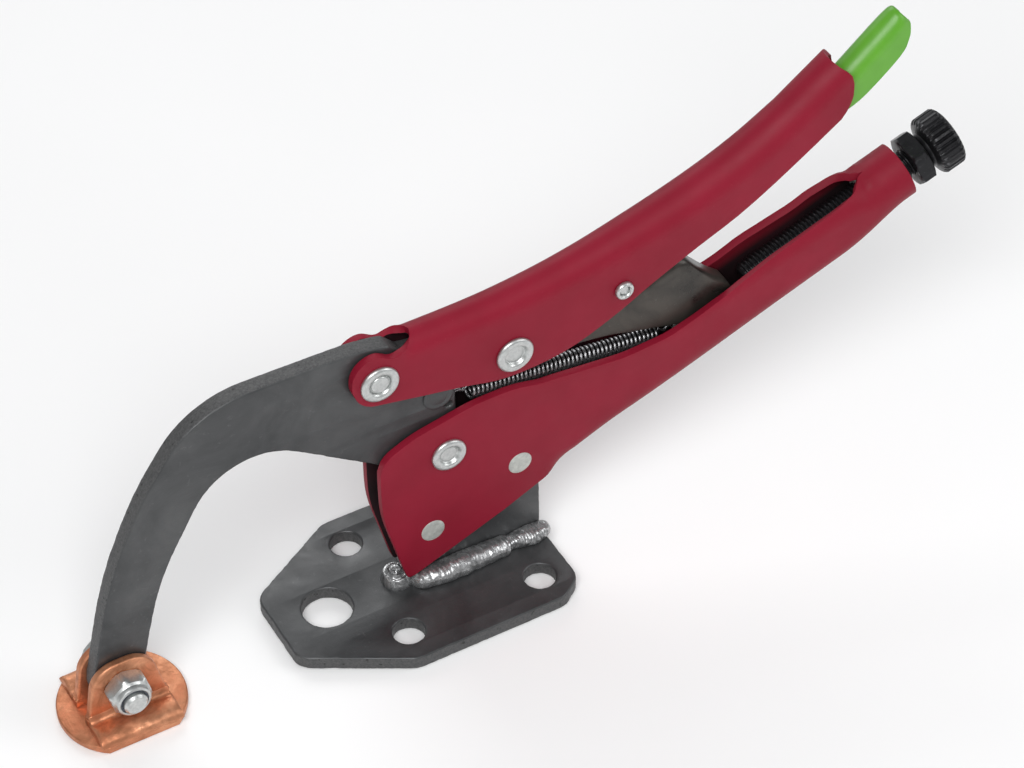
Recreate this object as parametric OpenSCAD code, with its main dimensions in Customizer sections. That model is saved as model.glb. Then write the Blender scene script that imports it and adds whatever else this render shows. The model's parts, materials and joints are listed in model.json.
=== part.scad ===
// Bench-mounted locking-plier ground clamp: a welded steel base carries the fixed handle, a curved arm
// brings a copper contact pad down in front of the base, and an over-centre link locks the arm.
// +X runs to the handle ends, -X to the contact pad, +Z up. The origin is the centre of the four
// fixing holes on the underside of the base plate. The clamp is shown locked, with its pad at base level.

/* [Base] */
// Thickness of the base plate
base_t = 5; // [4:0.5:8]
// Half of the base plate's width
base_half_w = 34; // [30:1:40]
// Rear edge of the base plate from the origin
base_rear = 35; // [34:1:42]
// Front edge of the base plate from the origin
base_nose = 60; // [56:1:66]
// Fixing hole spacing along the clamp
hole_pitch_x = 48; // [44:1:50]
// Fixing hole spacing across the clamp
hole_pitch_y = 44; // [40:1:46]
// Fixing hole diameter, clear for M10
fixing_d = 10.5; // [8.5:0.5:11]
// Cable lug hole diameter
lug_d = 16.5; // [12:0.5:17]
// Cable lug hole from the origin
lug_x = -42; // [-44:1:-40]

/* [Plates] */
// Thickness of the arm
plate_t = 6; // [6:0.1:6.2]
// Sheet thickness of the two handles
sheet_t = 2.5; // [2.2:0.1:2.7]
// Gap between the handle sheets at the front
jaw_gap = 7.4; // [7:0.1:7.8]

/* [Pivots] */
// Shank diameter of the three main pivot rivets
pivot_d = 8; // [7.6:0.1:8]
// Radial running clearance of every pivot
clear = 0.05; // [0.02:0.01:0.09]

/* [Contact pad] */
// Diameter of the copper disc
pad_d = 41.5; // [38:0.5:43]
// Thickness of the copper disc
pad_t = 2.5; // [2:0.1:2.8]
// Thickness of the copper ear brackets
ear_t = 3; // [2.6:0.1:3]
// Diameter of the pad bolt
pad_bolt_d = 8; // [7.6:0.1:8]

/* [Adjusting screw] */
// Outside diameter of the adjusting screw
screw_d = 10; // [9.6:0.1:10]
// Knob diameter
knob_d = 20.5; // [18:0.5:22]
// Ribs round the knob
knob_ribs = 30; // [24:1:36]

/* [Hidden] */
$fn = 48;

// pivot centres, [x, z]
arm_pivot = [0.5, 59];
handle_pivot = [-22, 100.5];
link_pivot = [24.5, 91];
release_pivot = [63, 101];
pad_pivot = [-115, 15];
spring_pin_at = [-0.7, 82.4];
spring_front = [4, 77];
spring_rear = [88, 67.7];

// adjusting screw axis: the end of the fixed handle's tube, and its slope
tube_end = [170.5, 99];
tilt = 20;
link_end = on_axis(-72.5, 0);

arm_y = plate_t / 2;
sheet_in = jaw_gap / 2;
web_y = sheet_in - 0.1;
sheet_out = sheet_in + sheet_t;
pivot_r = pivot_d / 2;
bore_r = pivot_r + clear;

// ---- helpers ----------------------------------------------------------------------------------

// point at u along the screw axis from the tube's end (negative into the handle) and v above it
function on_axis(u, v) = [tube_end[0] + u * cos(tilt) - v * sin(tilt),
    tube_end[1] + u * sin(tilt) + v * cos(tilt)];

function unit(a) = a / norm(a);
function flat(lists) = [for (l = lists) for (p = l) p];

// arc that rounds one corner b of the path a-b-c to radius r
function corner(a, b, c, r, n = 10) =
    let (p = unit(a - b), q = unit(c - b), half = acos(max(-1, min(1, p * q))) / 2)
    r < 0.01 || half > 89.5 ? [b] :
    let (mid = unit(p + q), centre = b + mid * r / sin(half),
        s = b + p * r / tan(half) - centre, e = b + q * r / tan(half) - centre,
        from = atan2(s[1], s[0]), turn = atan2(s[0] * e[1] - s[1] * e[0], s * e))
    [for (i = [0:n]) centre + r * [cos(from + turn * i / n), sin(from + turn * i / n)]];

// closed outline of corner points [x, z, radius], with each corner rounded to its radius
function rounded(pts, n = 10) = let (m = len(pts)) flat([for (i = [0:m - 1])
    let (a = pts[(i + m - 1) % m], b = pts[i], c = pts[(i + 1) % m])
    corner([a[0], a[1]], [b[0], b[1]], [c[0], c[1]], b[2], n)]);

// smooth curve through a list of equally long rows
function between(a, b, c, d, t) = 0.5 * (2 * b + (c - a) * t + (2 * a - 5 * b + 4 * c - d) * t * t
    + (3 * b - a - 3 * c + d) * t * t * t);
function smooth(rows, n) = let (m = len(rows)) concat(flat([for (i = [0:m - 2]) [for (j = [0:n - 1])
    between(rows[max(0, i - 1)], rows[i], rows[i + 1], rows[min(m - 1, i + 2)], j / n)]]), [rows[m - 1]]);

// side-view shape stood up between y0 and y1
module side(y0, y1) translate([0, y1, 0]) rotate([90, 0, 0]) linear_extrude(y1 - y0) children();

// cylinder along Y through side-view point p
module cross(p, r, y0, y1) translate([p[0], y1, p[1]]) rotate([90, 0, 0]) cylinder(h = y1 - y0, r = r);

// frame on the screw axis: local X outwards along the screw
module screw_frame() translate([tube_end[0], 0, tube_end[1]]) rotate([0, -tilt, 0]) children();

// turned shape on the screw axis from [u, r] points
module turned(pts, fn = 48) screw_frame() rotate([0, 90, 0]) rotate_extrude($fn = fn)
    polygon([for (p = pts) [p[1], p[0]]]);

// ---- folded sheet channels ----------------------------------------------------------------------
// A station is [x, z of the fold, tilt of the section, depth, half width, lip angle of the edges].

// half of one section: fold centre line, round the fold, up the wall, with the edge curled in by lip
function half_section(s, inset, nf, nw) =
    let (hw = s[4], r = hw - inset, lip = max(0, s[5]), wall_end = max(hw + 0.05, s[3] - hw * sin(lip)),
        straight = wall_end - hw, total = straight + r * lip * PI / 180)
    concat([for (i = [0:nf - 1]) let (a = -90 + 90 * i / nf) [r * cos(a), hw + r * sin(a)]],
        [for (k = [0:nw]) let (l = total * k / nw, a = max(0, l - straight) / r * 180 / PI)
            l <= straight ? [r, hw + l] : [r * cos(a), wall_end + r * sin(a)]]);

function section(s, inset, nf, nw) = let (h = half_section(s, inset, nf, nw), m = len(h))
    concat([for (i = [m - 1:-1:1]) [-h[i][0], h[i][1]]], h);

// section point [y, depth] placed at its station; fold_side is 1 with the fold below, -1 with it on top
function place(s, p, fold_side) = [s[0] - fold_side * p[1] * sin(s[2]), p[0],
    s[1] + fold_side * p[1] * cos(s[2])];

// sheet between inset_out and inset_in of the stations' outer surface
module channel(stations, inset_out, inset_in, fold_side, n = 2, nf = 6, nw = 3) {
    rows = smooth(stations, n);
    rings = [for (s = rows) let (o = section(s, inset_out, nf, nw), i = section(s, inset_in, nf, nw), m = len(i))
        [for (p = concat(o, [for (k = [m - 1:-1:0]) i[k]])) place(s, p, fold_side)]];
    c = len(rings[0]);
    last = len(rings) - 1;
    walls = flat([for (i = [0:last - 1]) [for (j = [0:c - 1]) let (k = (j + 1) % c)
        fold_side < 0 ? [i * c + j, i * c + k, (i + 1) * c + k, (i + 1) * c + j]
            : [i * c + j, (i + 1) * c + j, (i + 1) * c + k, i * c + k]]]);
    // an end is closed by a strip of quads across the sheet's thickness
    caps = flat([for (i = [0, last]) let (o = i * c) [for (j = [0:c / 2 - 2])
        (i == 0) == (fold_side < 0) ? [o + c - 1 - j, o + c - 2 - j, o + j + 1, o + j]
            : [o + j, o + j + 1, o + c - 2 - j, o + c - 1 - j]]]);
    polyhedron(points = flat(rings), faces = concat(walls, caps), convexity = 10);
}

// ---- base -------------------------------------------------------------------------------------

module base_plate() {
    outline = rounded([[base_rear, -28, 7], [base_rear, 28, 7], [27, base_half_w, 7],
        [-27, base_half_w, 8], [-base_nose, 15, 7], [-base_nose, -15, 7], [-27, -base_half_w, 8],
        [27, -base_half_w, 7]], 6);
    color([0.27, 0.28, 0.30]) difference() {
        linear_extrude(base_t) polygon(outline);
        for (x = [-1, 1], y = [-1, 1]) translate([x * hole_pitch_x / 2, y * hole_pitch_y / 2, -1])
            cylinder(h = base_t + 2, d = fixing_d);
        translate([lug_x, 0, -1]) cylinder(h = base_t + 2, d = lug_d);
    }
}

web_rivets = [[-6, 27.6], [26, 42.1]];
web_rivet_r = 4.2;

module upright_web() {
    outline = rounded([[-13, base_t, 0], [34.5, base_t, 0], [34.5, 50, 3], [18, 50, 4], [6, 41, 8],
        [-8, 38, 4], [-15, 22, 4]]);
    color([0.27, 0.28, 0.30]) difference() {
        side(-web_y, web_y) polygon(outline);
        for (p = web_rivets) cross(p, web_rivet_r, -10, 10);
    }
}

weld_r = 6;
weld_ripple = 0.3;

// rippled fillet weld along one side of the web's foot
module weld_run(side_sign, x0, x1, pitch = 2.6) {
    beads = floor((x1 - x0) / pitch);
    intersection() {
        for (i = [0:beads]) translate([x0 + i * pitch, side_sign * (web_y + 1.2), base_t - 0.2])
            sphere(r = weld_r + weld_ripple * sin(i * 77), $fn = 20);
        translate([x0 - 8, side_sign > 0 ? web_y : -web_y - 12, base_t])
            cube([x1 - x0 + 16, 12, 12]);
    }
}

module weld_bead_near() color([0.55, 0.56, 0.58]) weld_run(-1, -8, 31);
module weld_bead_far() color([0.55, 0.56, 0.58]) weld_run(1, -8, 31);

// blob that ends the run in front of the web
module weld_tack() color([0.55, 0.56, 0.58]) intersection() {
    translate([-17, 0, base_t + 0.5]) sphere(r = 5, $fn = 32);
    translate([-30, -10, base_t]) cube([15.8, 20, 20]);
}

// ---- fixed handle -----------------------------------------------------------------------------

// rear channel along the screw axis: [u, v of the fold, v of the open edge, half width, lip]
channel_from = -137;
fixed_rows = [[channel_from, -17.6, 22.8, 6.4, 0], [-132, -17.2, 20.6, 6.5, 0], [-122, -16.3, 16.4, 7.2, 0],
    [-108, -15.8, 11, 8.4, 3], [-92, -15.4, 6.8, 9, 8], [-76, -15.1, 6.4, 9, 16],
    [-58, -14.8, 8.2, 8.9, 24], [-38, -14.6, 8.9, 8.8, 30], [-27, -14.2, 9.4, 9, 38], [-19, -12.8, 9.5, 9.2, 56],
    [-12, -10.9, 9.5, 9.4, 76], [-6, -9.7, 9.5, 9.5, 84], [0, -9.5, 9.5, 9.5, 84]];
fixed_stations = [for (r = fixed_rows) let (p = on_axis(r[0], r[1])) [p[0], p[1], tilt, r[2] - r[1], r[3], r[4]]];

module fixed_handle() {
    // front side plates, which run a little way into the channel's walls
    top_end = on_axis(channel_from + 2.5, 21.4);
    low_end = on_axis(channel_from + 2.5, -15.2);
    plate = rounded([[-15.5, 9.5, 2], [-23.4, 42, 60], [-23.4, 65.6, 9], [-11, 71.3, 30], [10, 75.6, 40],
        [24, 75.8, 40], [top_end[0], top_end[1], 0], [low_end[0], low_end[1], 0], [41, 33.6, 10], [20, 23.8, 60]], 6);
    color([0.62, 0.08, 0.16]) {
        difference() {
            for (y = [-sheet_out, sheet_in]) side(y, y + sheet_t) polygon(plate);
            cross(arm_pivot, pivot_r, -10, 10);
            for (p = web_rivets) cross(p, web_rivet_r, -10, 10);
        }
        channel(fixed_stations, 0, sheet_t + 0.3, 1);
    }
}

// tubular rivet: shank between the flanges, rolled flanges with a hollow centre
module tubular_rivet(p, shank_r, flange_r, half_len, hollow_r) {
    lip = 1.5;
    translate([p[0], 0, p[1]]) rotate([90, 0, 0]) difference() {
        rotate_extrude($fn = 48) polygon(concat([[0, -half_len - lip + 0.4]],
            [[hollow_r + 0.6, -half_len - lip], [flange_r - 0.9, -half_len - lip],
            [flange_r, -half_len - lip + 0.8], [flange_r, -half_len], [shank_r, -half_len],
            [shank_r, half_len], [flange_r, half_len], [flange_r, half_len + lip - 0.8],
            [flange_r - 0.9, half_len + lip], [hollow_r + 0.6, half_len + lip], [0, half_len + lip - 0.4]]));
        for (m = [0, 1]) mirror([0, 0, m]) translate([0, 0, half_len - 1.2])
            cylinder(h = 4, r1 = hollow_r * 0.8, r2 = hollow_r + 0.4);
    }
}

module web_rivet(p) color([0.72, 0.72, 0.73]) cross(p, web_rivet_r, -sheet_out - 0.2, sheet_out + 0.2);
module web_rivet_front() web_rivet(web_rivets[0]);
module web_rivet_rear() web_rivet(web_rivets[1]);
module arm_pivot_rivet() color([0.80, 0.81, 0.82])
    tubular_rivet(arm_pivot, pivot_r, 6.0, sheet_out, 2.4);

// upright tab inside the channel that the spring's rear hook holds on to
module spring_anchor_tab() {
    foot = on_axis(-86, -13);
    color([0.45, 0.45, 0.47]) difference() {
        side(-1, 1) polygon(rounded([[foot[0] - 4, foot[1] - 1.6, 0], [foot[0] + 5, foot[1] + 1.6, 0],
            [spring_rear[0] + 3, spring_rear[1] + 3, 2], [spring_rear[0] - 3, spring_rear[1] + 3, 2]]));
        cross(spring_rear, 1.2, -3, 3);
    }
}

insert_len = 15;
insert_r = 6.5;
module screw_insert() color([0.5, 0.5, 0.52]) difference() {
    screw_frame() translate([-insert_len, 0, 0]) rotate([0, 90, 0]) cylinder(h = insert_len - 0.5, r = insert_r);
    screw_frame() translate([-insert_len - 1, 0, 0]) rotate([0, 90, 0])
        cylinder(h = insert_len + 2, d = screw_d + 2 * clear);
}

// ---- arm --------------------------------------------------------------------------------------

spring_pin_r = 2.5;

module jaw_arm() {
    outline = rounded([[5.5, 104, 3], [-12, 106, 4], [-17, 111.2, 2], [-28, 113, 40], [-72.5, 113.9, 33],
        [-86.8, 105.7, 33], [-99.9, 87.7, 100], [-114.4, 58.6, 160], [-126.6, 6.2, 8.4], [-109.2, 6.2, 8],
        [-98.2, 50.1, 100], [-70.9, 97.4, 23], [-5.7, 50.5, 0], [5.5, 59, 0]], 10);
    color([0.25, 0.26, 0.28]) difference() {
        union() {
            side(-arm_y, arm_y) polygon(outline);
            cross(arm_pivot, 10.5, -arm_y, arm_y);
        }
        cross(arm_pivot, bore_r, -10, 10);
        cross(handle_pivot, bore_r, -10, 10);
        cross(pad_pivot, pad_bolt_d / 2 + clear, -10, 10);
        cross(spring_pin_at, spring_pin_r, -10, 10);
        // notch for the spring's front hook
        cross([spring_front[0] - 1.2, spring_front[1] - 0.2], 1.2, -10, 10);
    }
}

// headed pin pressed through the arm beside the spring's hook
module spring_pin() color([0.16, 0.16, 0.17]) {
    cross(spring_pin_at, spring_pin_r, -arm_y, arm_y);
    cross(spring_pin_at, 5.2, -arm_y - 0.6, -arm_y);
    cross(spring_pin_at, 5.2, arm_y, arm_y + 0.6);
}

// ---- upper handle -----------------------------------------------------------------------------

upper_stations = [[-40, 110.4, 0, 33, sheet_out, 0], [-20, 112, 0, 33, sheet_out, 0],
    [0, 112.2, 0, 35, sheet_out, 0], [20, 112.9, 4, 36, sheet_out + 0.2, 0],
    [37, 114.9, 9, 35, 6.6, 0], [53, 118, 12, 32, 7, 0], [68, 122, 14, 29.5, 7.4, 0],
    [83, 126.5, 17, 27, 7.7, 0], [97, 131.6, 22, 25, 7.8, 0], [110, 137.6, 28, 23.5, 7.8, 0],
    [123, 145.2, 33, 22.5, 7.7, 0], [135, 153.8, 37, 22, 7.6, 0], [146, 162.6, 38, 22, 7.6, 0]];

module upper_handle() {
    // lower edge from the front ear to the end, then up round the end and above the fold
    outline = rounded([[-32.4, 101, 8], [-29.2, 92.9, 9], [28, 80.7, 40], [50, 85.4, 60],
        [84, 104.8, 200], [106, 114, 90], [141.5, 137.3, 6], [146, 146, 8], [143.5, 154.5, 6],
        [133, 163, 0], [120, 170, 0], [-12.8, 170, 0], [-12.8, 110.2, 1.2], [-17, 108.2, 2.4],
        [-22, 111.2, 6], [-31.4, 109.6, 8]], 8);
    color([0.62, 0.08, 0.16]) difference() {
        intersection() {
            channel(upper_stations, 0, sheet_t, -1);
            side(-15, 15) polygon(outline);
        }
        // relief notch in the front of the fold
        translate([-13, 0, 100]) cylinder(h = 30, r = 4.6);
        translate([-50, -sheet_in - 0.05, 60]) cube([37, jaw_gap + 0.1, 80]);
        cross(handle_pivot, pivot_r, -12, 12);
        cross(link_pivot, pivot_r, -12, 12);
        cross(release_pivot, 2, -12, 12);
    }
}

module handle_pivot_rivet() color([0.80, 0.81, 0.82])
    tubular_rivet(handle_pivot, pivot_r, 6.5, sheet_out, 2.4);
module link_pivot_rivet() color([0.80, 0.81, 0.82])
    tubular_rivet(link_pivot, pivot_r, 6.4, sheet_out + 0.3, 3);
module release_rivet() color([0.80, 0.81, 0.82]) tubular_rivet(release_pivot, 2, 3.2, 7.35, 1.1);

// ---- toggle link ------------------------------------------------------------------------------

link_t = 2;

// pressed link: a blade in the upper handle that widens into a humped channel over its rear end
module toggle_link() {
    wide = 4.6;
    top = [[24, 98.5, 0], [48, 94.6, 30], [64, 93.2, 20], [85, 100.8, 6], [94, 90.5, 8], [104, 83, 6]];
    low = [[108.4, 76, 5], [102, 67.8, 5], [84, 74.4, 20], [58, 80, 60], [24, 83.2, 0]];
    outline = rounded(concat(top, low));
    color([0.17, 0.16, 0.15]) difference() {
        union() {
            // sides and top of the narrow blade, and of the wide channel behind it
            side(-3.05, 3.05) intersection() { polygon(outline); translate([0, 60]) square([68, 60]); }
            side(-wide, wide) intersection() { polygon(outline); translate([67, 60]) square([60, 60]); }
            cross(link_pivot, 7.6, -3.05, 3.05);
        }
        // hollow underside
        side(-1.2, 1.2) translate([0, -link_t]) intersection() {
            polygon(outline);
            translate([34, 60]) square([35, 60]);
        }
        side(-wide + link_t, wide - link_t) translate([0, -link_t]) intersection() {
            polygon(rounded(concat(top, [[104, 60, 0], [24, 60, 0]])));
            translate([69, 60]) square([24, 60]);
        }
        side(-1.2, 1.2) translate([34, 70]) square([35, 12]);
        cross(link_pivot, bore_r, -12, 12);
    }
}

// ---- release lever ----------------------------------------------------------------------------

// The lever nests in the upper handle: each station sits lever_drop under the handle's fold.
lever_gap = 0.35;
function nested(s, drop, depth) = [s[0] + drop * sin(s[2]), s[1] - drop * cos(s[2]), s[2], depth,
    s[4] - sheet_t - lever_gap, 0];
lever_stations = concat(
    [for (r = [[5, 14, 15], [6, 15, 14], [7, 14.5, 13], [8, 12, 13.5], [9, 8, 15], [10, 7, 15], [11, 7.5, 15]])
        nested(upper_stations[r[0]], r[1], r[2])],
    [[147, 153.4, 37, 15, 5.2, 0], [156, 161.2, 38, 15, 5.2, 0], [161.5, 165.6, 38, 13, 4.6, 0],
        [164.2, 166.8, 38, 11, 3.2, 0]]);
grip_t = 0.9;
grip_from = [140, 140];

module release_lever() color([0.35, 0.35, 0.37]) difference() {
    intersection() {
        channel(lever_stations, grip_t + 0.05, 2.6, -1);
        side(-15, 15) polygon(rounded([[55, 97.3, 0], [68, 97.3, 8], [84, 102.6, 6], [110, 114.6, 20], [146, 138.4, 10],
            [162.6, 150.8, 4], [166.2, 158, 6], [162, 170, 6], [150, 175, 0], [60, 140, 0]]));
    }
    cross(release_pivot, 2 + clear, -12, 12);
}

// soft dipped sleeve over the tail
module lever_grip() color([0.40, 0.72, 0.20]) intersection() {
    channel(lever_stations, 0, grip_t, -1);
    side(-15, 15) polygon(rounded([[grip_from[0], grip_from[1] - 7, 0], [164, 150.4, 6],
        [167.6, 158, 6], [164, 170, 6], [150, 175, 0], [grip_from[0] - 10, grip_from[1] + 15, 0]]));
}

// ---- contact pad ------------------------------------------------------------------------------

pad_x = pad_pivot[0] + 0.5;
ear_in = arm_y + 0.1;
ear_flat = 17;
foot_half = 14;

module pad_disc() color([0.80, 0.50, 0.34]) intersection() {
    translate([pad_x, 0, 0]) cylinder(h = pad_t, d = pad_d, $fn = 72);
    translate([pad_x - 30, -ear_flat, -1]) cube([60, 2 * ear_flat, 5]);
}

// L-shaped ear: flange on the disc, upright with a round top for the bolt
module pad_ear(s) {
    top = rounded([[pad_x - foot_half, pad_t, 0], [pad_x + foot_half, pad_t, 0], [pad_pivot[0] + 9.6, 25.2, 9.4],
        [pad_pivot[0] - 9.6, 25.2, 9.4]], 12);
    color([0.80, 0.50, 0.34]) difference() {
        union() {
            side(s > 0 ? ear_in : -ear_in - ear_t, s > 0 ? ear_in + ear_t : -ear_in) polygon(top);
            translate([pad_x - foot_half, s > 0 ? ear_in : -ear_flat, pad_t])
                cube([2 * foot_half, ear_flat - ear_in, ear_t]);
        }
        cross(pad_pivot, pad_bolt_d / 2, -20, 20);
    }
}
module pad_ear_near() pad_ear(-1);
module pad_ear_far() pad_ear(1);

bolt_af = 13;
module hex(p, af, y0, y1) translate([p[0], y1, p[1]]) rotate([90, 0, 0])
    cylinder(h = y1 - y0, d = af / cos(30), $fn = 6);

module pad_bolt() color([0.80, 0.81, 0.82]) {
    face = ear_in + ear_t;
    cross(pad_pivot, pad_bolt_d / 2, -face - 9.6, face);
    hex(pad_pivot, bolt_af, face, face + 5.3);
}

module pad_bolt_nut() color([0.80, 0.81, 0.82]) {
    face = -ear_in - ear_t;
    difference() {
        union() {
            hex(pad_pivot, bolt_af, face - 6, face);
            cross(pad_pivot, 5.9, face - 8, face - 6);
        }
        cross(pad_pivot, pad_bolt_d / 2, -30, 0);
    }
}

// ---- adjusting screw --------------------------------------------------------------------------

screw_r = screw_d / 2;
screw_tip = -62.3;
module adjusting_screw() color([0.12, 0.12, 0.13]) turned([[screw_tip, 0], [screw_tip, 3.4],
    [screw_tip + 1.6, screw_r], [15, screw_r], [15, 0]]);

module adjusting_knob() color([0.12, 0.12, 0.13]) {
    r = knob_d / 2;
    difference() {
        turned([[9.8, screw_r], [9.8, 6.2], [11.8, r - 0.8], [12.6, r], [19.2, r], [20.4, r - 1.2],
            [20.7, r - 3], [20.7, 0], [15, 0], [15, screw_r]]);
        screw_frame() for (i = [0:knob_ribs - 1]) rotate([i * 360 / knob_ribs, 0, 0])
            translate([12.2, 0, r + 0.25]) rotate([0, 90, 0]) cylinder(h = 10, r = 0.75, $fn = 8);
    }
}

module lock_nut() color([0.12, 0.12, 0.13]) difference() {
    screw_frame() translate([3.2, 0, 0]) rotate([0, 90, 0]) intersection() {
        cylinder(h = 5.6, d = 17 / cos(30), $fn = 6);
        rotate_extrude() polygon([[0, 0], [8.6, 0], [9.9, 0.9], [9.9, 4.7], [8.6, 5.6], [0, 5.6]]);
    }
    screw_frame() translate([0, 0, 0]) rotate([0, 90, 0]) cylinder(h = 12, d = screw_d + 2 * clear);
}

// ---- tension spring ---------------------------------------------------------------------------

// closed envelope of the coil, with a straight hook at each end
module tension_spring() {
    run = spring_rear - spring_front;
    slope = atan2(run[1], run[0]);
    color([0.45, 0.46, 0.48]) translate([spring_front[0], 0, spring_front[1]]) rotate([0, -slope, 0])
        rotate([0, 90, 0]) {
            translate([0, 0, 6]) cylinder(h = norm(run) - 13, r = 3);
            translate([0, 0, 2]) cylinder(h = norm(run) - 5.6, r = 0.6);
        }
}

base_plate();
upright_web();
weld_bead_near();
weld_bead_far();
weld_tack();
fixed_handle();
web_rivet_front();
web_rivet_rear();
arm_pivot_rivet();
spring_anchor_tab();
screw_insert();
jaw_arm();
spring_pin();
upper_handle();
handle_pivot_rivet();
link_pivot_rivet();
release_rivet();
toggle_link();
release_lever();
lever_grip();
pad_disc();
pad_ear_near();
pad_ear_far();
pad_bolt();
pad_bolt_nut();
adjusting_screw();
adjusting_knob();
lock_nut();
tension_spring();
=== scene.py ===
import bpy
import bmesh
import json
import math
import numpy as np
from mathutils import Matrix, Vector, noise
from mathutils.geometry import tessellate_polygon


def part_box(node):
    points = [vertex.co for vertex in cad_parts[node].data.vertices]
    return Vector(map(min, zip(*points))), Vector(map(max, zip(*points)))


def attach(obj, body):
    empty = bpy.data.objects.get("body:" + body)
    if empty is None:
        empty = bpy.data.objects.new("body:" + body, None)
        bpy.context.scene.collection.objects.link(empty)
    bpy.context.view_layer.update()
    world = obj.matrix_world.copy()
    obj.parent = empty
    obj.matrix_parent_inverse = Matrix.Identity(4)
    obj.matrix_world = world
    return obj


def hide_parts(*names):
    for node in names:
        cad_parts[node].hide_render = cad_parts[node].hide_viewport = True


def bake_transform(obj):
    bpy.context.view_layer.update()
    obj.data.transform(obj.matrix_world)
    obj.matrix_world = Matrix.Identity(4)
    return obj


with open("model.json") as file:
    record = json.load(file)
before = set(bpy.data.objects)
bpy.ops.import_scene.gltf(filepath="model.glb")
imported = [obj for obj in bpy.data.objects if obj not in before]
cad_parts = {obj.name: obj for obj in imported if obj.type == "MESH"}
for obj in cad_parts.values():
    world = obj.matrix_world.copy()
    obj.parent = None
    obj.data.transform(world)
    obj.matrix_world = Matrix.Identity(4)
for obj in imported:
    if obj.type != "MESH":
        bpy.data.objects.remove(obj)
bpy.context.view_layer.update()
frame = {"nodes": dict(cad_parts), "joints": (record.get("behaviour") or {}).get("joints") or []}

# Lengths below are in millimetres, in the CAD frame. MM turns them into Blender's metres.
MM = 0.001
JOINTS = {joint["name"]: joint for joint in frame["joints"]}

SHEET = 2.5             # sheet thickness of the two handles
JAW_HALF = 6.2          # outer half width of the handles at the front


def pivot(joint):
    """A hinge's place in side view, [x, z]."""
    at = JOINTS[joint]["pos_m"]
    return np.array([at[0], at[2]]) / MM


def box(node):
    """A node's lowest and highest corners."""
    low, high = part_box(node)
    return np.array(low) / MM, np.array(high) / MM


TUBE_END = pivot("screw_turn")
SCREW_AXIS = np.array(JOINTS["screw_turn"]["axis"], float)
ALONG = SCREW_AXIS[[0, 2]]
ABOVE = np.array([-ALONG[1], ALONG[0]])


def on_axis(u, v):
    """Side-view point at u along the screw axis from the tube's end and v above it."""
    return TUBE_END + u * ALONG + v * ABOVE


# ---- materials ------------------------------------------------------------------------------------

def add(tree, kind, inputs=None, **settings):
    """A shader node with its settings, and its inputs as values or as other nodes' sockets."""
    made = tree.nodes.new(kind)
    for name, value in settings.items():
        setattr(made, name, value)
    for name, value in (inputs or {}).items():
        if isinstance(value, bpy.types.NodeSocket):
            tree.links.new(value, made.inputs[name])
        else:
            made.inputs[name].default_value = value
    return made


def grain(tree, scale, detail=4.0, rough=0.55, distort=0.0, stretch=None):
    """Noise in the part's own frame. scale is in cycles per metre, and stretch scales each axis."""
    place = add(tree, "ShaderNodeTexCoord").outputs["Object"]
    if stretch:
        place = add(tree, "ShaderNodeMapping", {"Vector": place, "Scale": stretch}).outputs["Vector"]
    made = add(tree, "ShaderNodeTexNoise", {"Vector": place, "Scale": scale, "Detail": detail,
                                            "Roughness": rough, "Distortion": distort})
    return made.outputs["Fac"]


def spread_out(tree, value, low, high, to_low=0.0, to_high=1.0):
    """value moved from the range low-high to to_low-to_high, and held there."""
    made = add(tree, "ShaderNodeMapRange", {"Value": value, "From Min": low, "From Max": high,
                                            "To Min": to_low, "To Max": to_high})
    return made.outputs["Result"]


def mix(tree, share, first, second):
    """Colours blended by share. Each is a socket or three numbers."""
    made = add(tree, "ShaderNodeMix", {"Factor": share}, data_type="RGBA")
    for socket, colour in ((made.inputs[6], first), (made.inputs[7], second)):
        if isinstance(colour, bpy.types.NodeSocket):
            tree.links.new(colour, socket)
        else:
            socket.default_value = (*colour, 1.0)
    return made.outputs[2]


def relief(tree, height, depth, strength=1.0, over=None):
    """Bump from height, depth in metres, on top of another bump's normal."""
    inputs = {"Height": height, "Strength": strength, "Distance": depth}
    if over:
        inputs["Normal"] = over
    return add(tree, "ShaderNodeBump", inputs).outputs["Normal"]


def material(slot, paint):
    """A new material whose principled inputs come from paint(tree)."""
    made = bpy.data.materials.new(slot)
    made.use_nodes = True
    tree = made.node_tree
    shader = tree.nodes["Principled BSDF"]
    for name, value in paint(tree).items():
        if isinstance(value, bpy.types.NodeSocket):
            tree.links.new(value, shader.inputs[name])
        else:
            shader.inputs[name].default_value = value
    return made


def crimson_coat(tree):
    """Satin powder coat with a slight orange peel and fine dust."""
    cloud = spread_out(tree, grain(tree, 45), 0.3, 0.7)
    coat = mix(tree, cloud, (0.205, 0.0045, 0.018), (0.245, 0.0065, 0.024))
    specks = spread_out(tree, grain(tree, 2600, 2), 0.70, 0.78, 0.0, 0.35)
    peel = relief(tree, grain(tree, 1100, 3), 0.00003, 0.55)
    return {"Base Color": mix(tree, specks, coat, (0.38, 0.08, 0.10)),
            "Roughness": spread_out(tree, grain(tree, 160), 0.3, 0.7, 0.50, 0.58),
            "Specular IOR Level": 0.22,
            "Normal": relief(tree, grain(tree, 130, 2), 0.00012, 0.35, peel)}


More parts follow.
